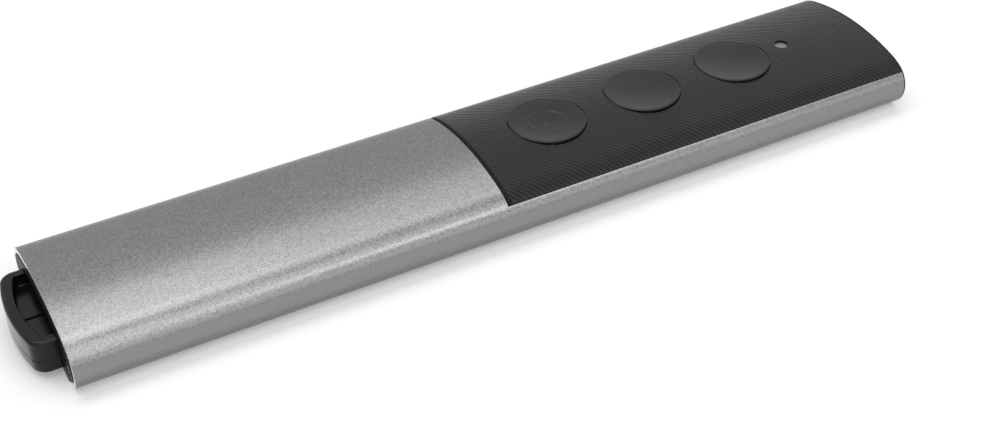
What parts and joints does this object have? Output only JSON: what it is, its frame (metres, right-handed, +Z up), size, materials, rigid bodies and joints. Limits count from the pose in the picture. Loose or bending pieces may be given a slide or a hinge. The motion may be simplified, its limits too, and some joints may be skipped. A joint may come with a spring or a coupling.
{
  "type": "wireless presentation clicker",
  "caption": "Slim wireless presentation clicker: aluminium sleeve, ribbed black panel with dished push buttons, front laser opening and a receiver plug stored in the rear end.",
  "frame": {"origin": "under the middle of the whole clicker, on the surface that its flat base lies on", "axes": "+X along the body towards the laser end, +Y across it to the left of that direction, +Z up through the buttons"},
  "size_m": [0.1518, 0.03, 0.0101],
  "materials": {
    "sleeve_aluminium": "bead-blasted and anodised, fine sparkle",
    "panel_black": "fine diagonal moulded ribs, satin",
    "button_black": "smooth satin",
    "cap_black": "satin",
    "receiver_black": "satin, lightly worn edges",
    "chassis_black": "as moulded",
    "door_black": "fine matt grain",
    "board_green": "solder mask over fibreglass",
    "switch_black": "as moulded",
    "switch_plunger_grey": "as moulded",
    "chip_black": "matt epoxy",
    "can_steel": "drawn can",
    "ceramic_white": "fired ceramic",
    "led_white": "clear over white",
    "guide_clear": "frosted light guide",
    "cell_steel": "nickel-plated, fine turned lines",
    "spring_steel": "nickel-plated strip",
    "screw_steel": "zinc-plated",
    "screw_black": "blackened",
    "plug_steel": "nickel-plated sheet",
    "tongue_black": "as moulded",
    "contact_gold": "gold-flashed",
    "laser_brass": "turned brass",
    "diode_steel": "gold-tinted can",
    "lens_glass": "clear"
  },
  "bodies": {
    "casing": {"body_sleeve": "sleeve_aluminium", "button_panel": "panel_black", "switch_bodies": "switch_black", "main_board": "board_green", "board_screws": "screw_steel", "radio_chip": "chip_black", "crystal": "can_steel", "board_antenna": "ceramic_white", "board_passives": "ceramic_white", "status_led": "led_white", "light_guide": "guide_clear", "coin_cell": "cell_steel", "battery_contact_top": "spring_steel", "battery_contact_side": "spring_steel", "laser_barrel": "laser_brass", "laser_lens": "lens_glass", "laser_diode": "diode_steel", "laser_leads": "contact_gold", "laser_window": "lens_glass", "front_cap": "cap_black", "chassis": "chassis_black", "rear_cap": "cap_black", "rear_cap_screws": "screw_black", "detent_leaf": "spring_steel"},
    "rear_button": {"button_rear": "button_black", "plunger_rear": "switch_plunger_grey"},
    "middle_button": {"button_middle": "button_black", "plunger_middle": "switch_plunger_grey"},
    "front_button": {"button_front": "button_black", "plunger_front": "switch_plunger_grey"},
    "receiver": {"receiver_upper_shell": "receiver_black", "receiver_lower_shell": "receiver_black", "receiver_board": "board_green", "receiver_chip": "chip_black", "usb_plug_shell": "plug_steel", "usb_tongue": "tongue_black", "usb_contacts": "contact_gold"},
    "door": {"battery_door": "door_black"}
  },
  "joints": [
    {"name": "rear_button_press", "type": "slide", "parent": "casing", "child": "rear_button", "axis": [0, 0, -1], "range_m": [0, 0.00035], "stiffness_N_per_m": 3000, "springref_m": -0.0001},
    {"name": "middle_button_press", "type": "slide", "parent": "casing", "child": "middle_button", "axis": [0, 0, -1], "range_m": [0, 0.00035], "stiffness_N_per_m": 3000, "springref_m": -0.0001},
    {"name": "front_button_press", "type": "slide", "parent": "casing", "child": "front_button", "axis": [0, 0, -1], "range_m": [0, 0.00035], "stiffness_N_per_m": 3000, "springref_m": -0.0001},
    {"name": "receiver_slide", "type": "slide", "parent": "casing", "child": "receiver", "axis": [-1, 0, 0], "range_m": [0, 0.018]},
    {"name": "battery_door_swing", "type": "hinge", "parent": "casing", "child": "door", "pos_m": [-0.02785, 0, 0], "axis": [0, -1, 0], "range_deg": [0, 75]}
  ]
}
